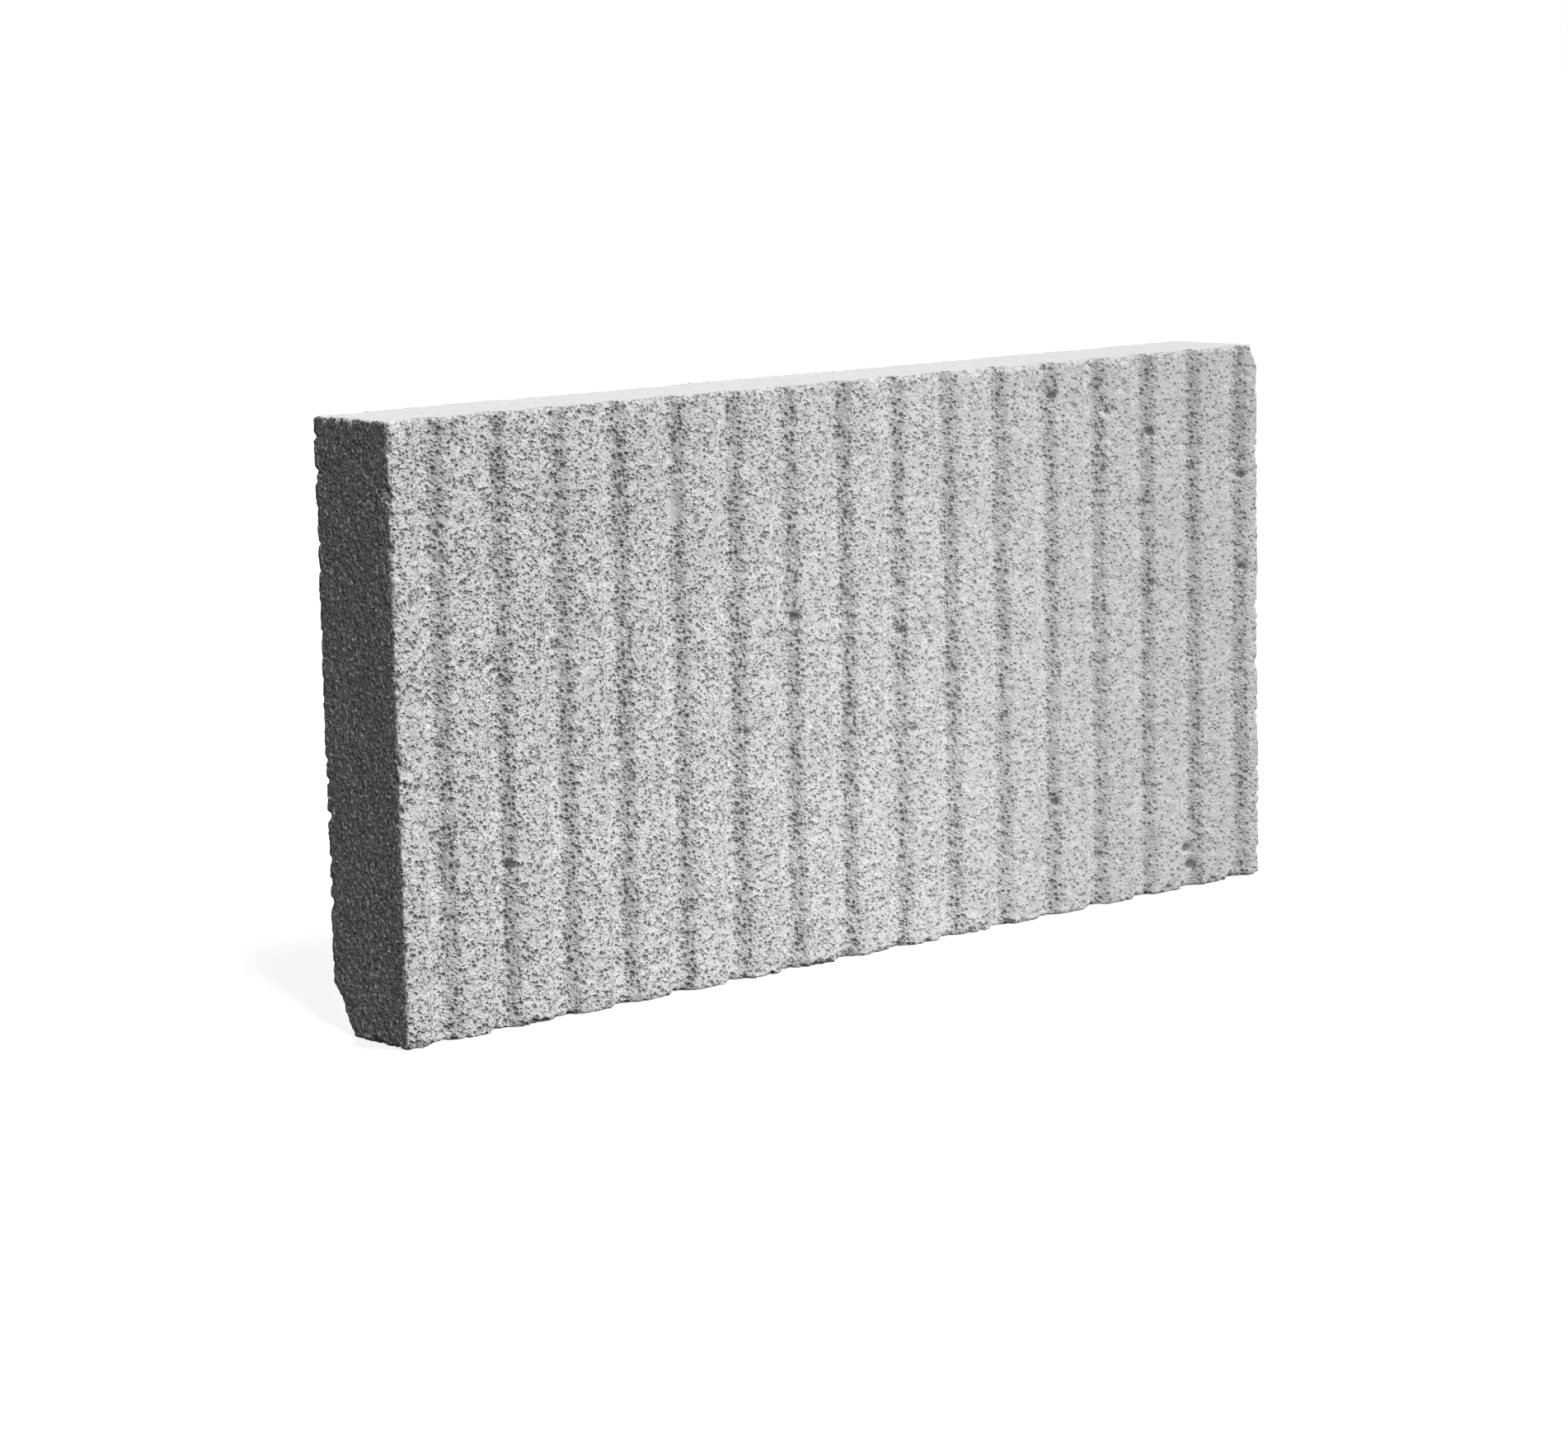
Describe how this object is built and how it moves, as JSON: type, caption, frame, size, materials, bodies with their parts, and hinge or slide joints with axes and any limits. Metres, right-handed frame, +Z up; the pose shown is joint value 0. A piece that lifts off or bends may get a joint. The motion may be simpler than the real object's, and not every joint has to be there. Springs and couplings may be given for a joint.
{
  "type": "ribbed concrete block",
  "caption": "Thin rectangular walling slab of porous lightweight concrete, with upright trapezoidal grooves across one face, a flat back and one broken lower corner.",
  "frame": {"origin": "middle of the lower bed face, the long narrow face that the block stands on", "axes": "+X along the length to the right of the ribbed face, -Y out of the ribbed front face, +Y out of the flat back, +Z up along the grooves"},
  "size_m": [0.5, 0.05, 0.25],
  "materials": {
    "concrete": "matt, open-grained and crumbly"
  },
  "bodies": {
    "root": {"ribbed_block": "concrete"}
  },
  "joints": []
}
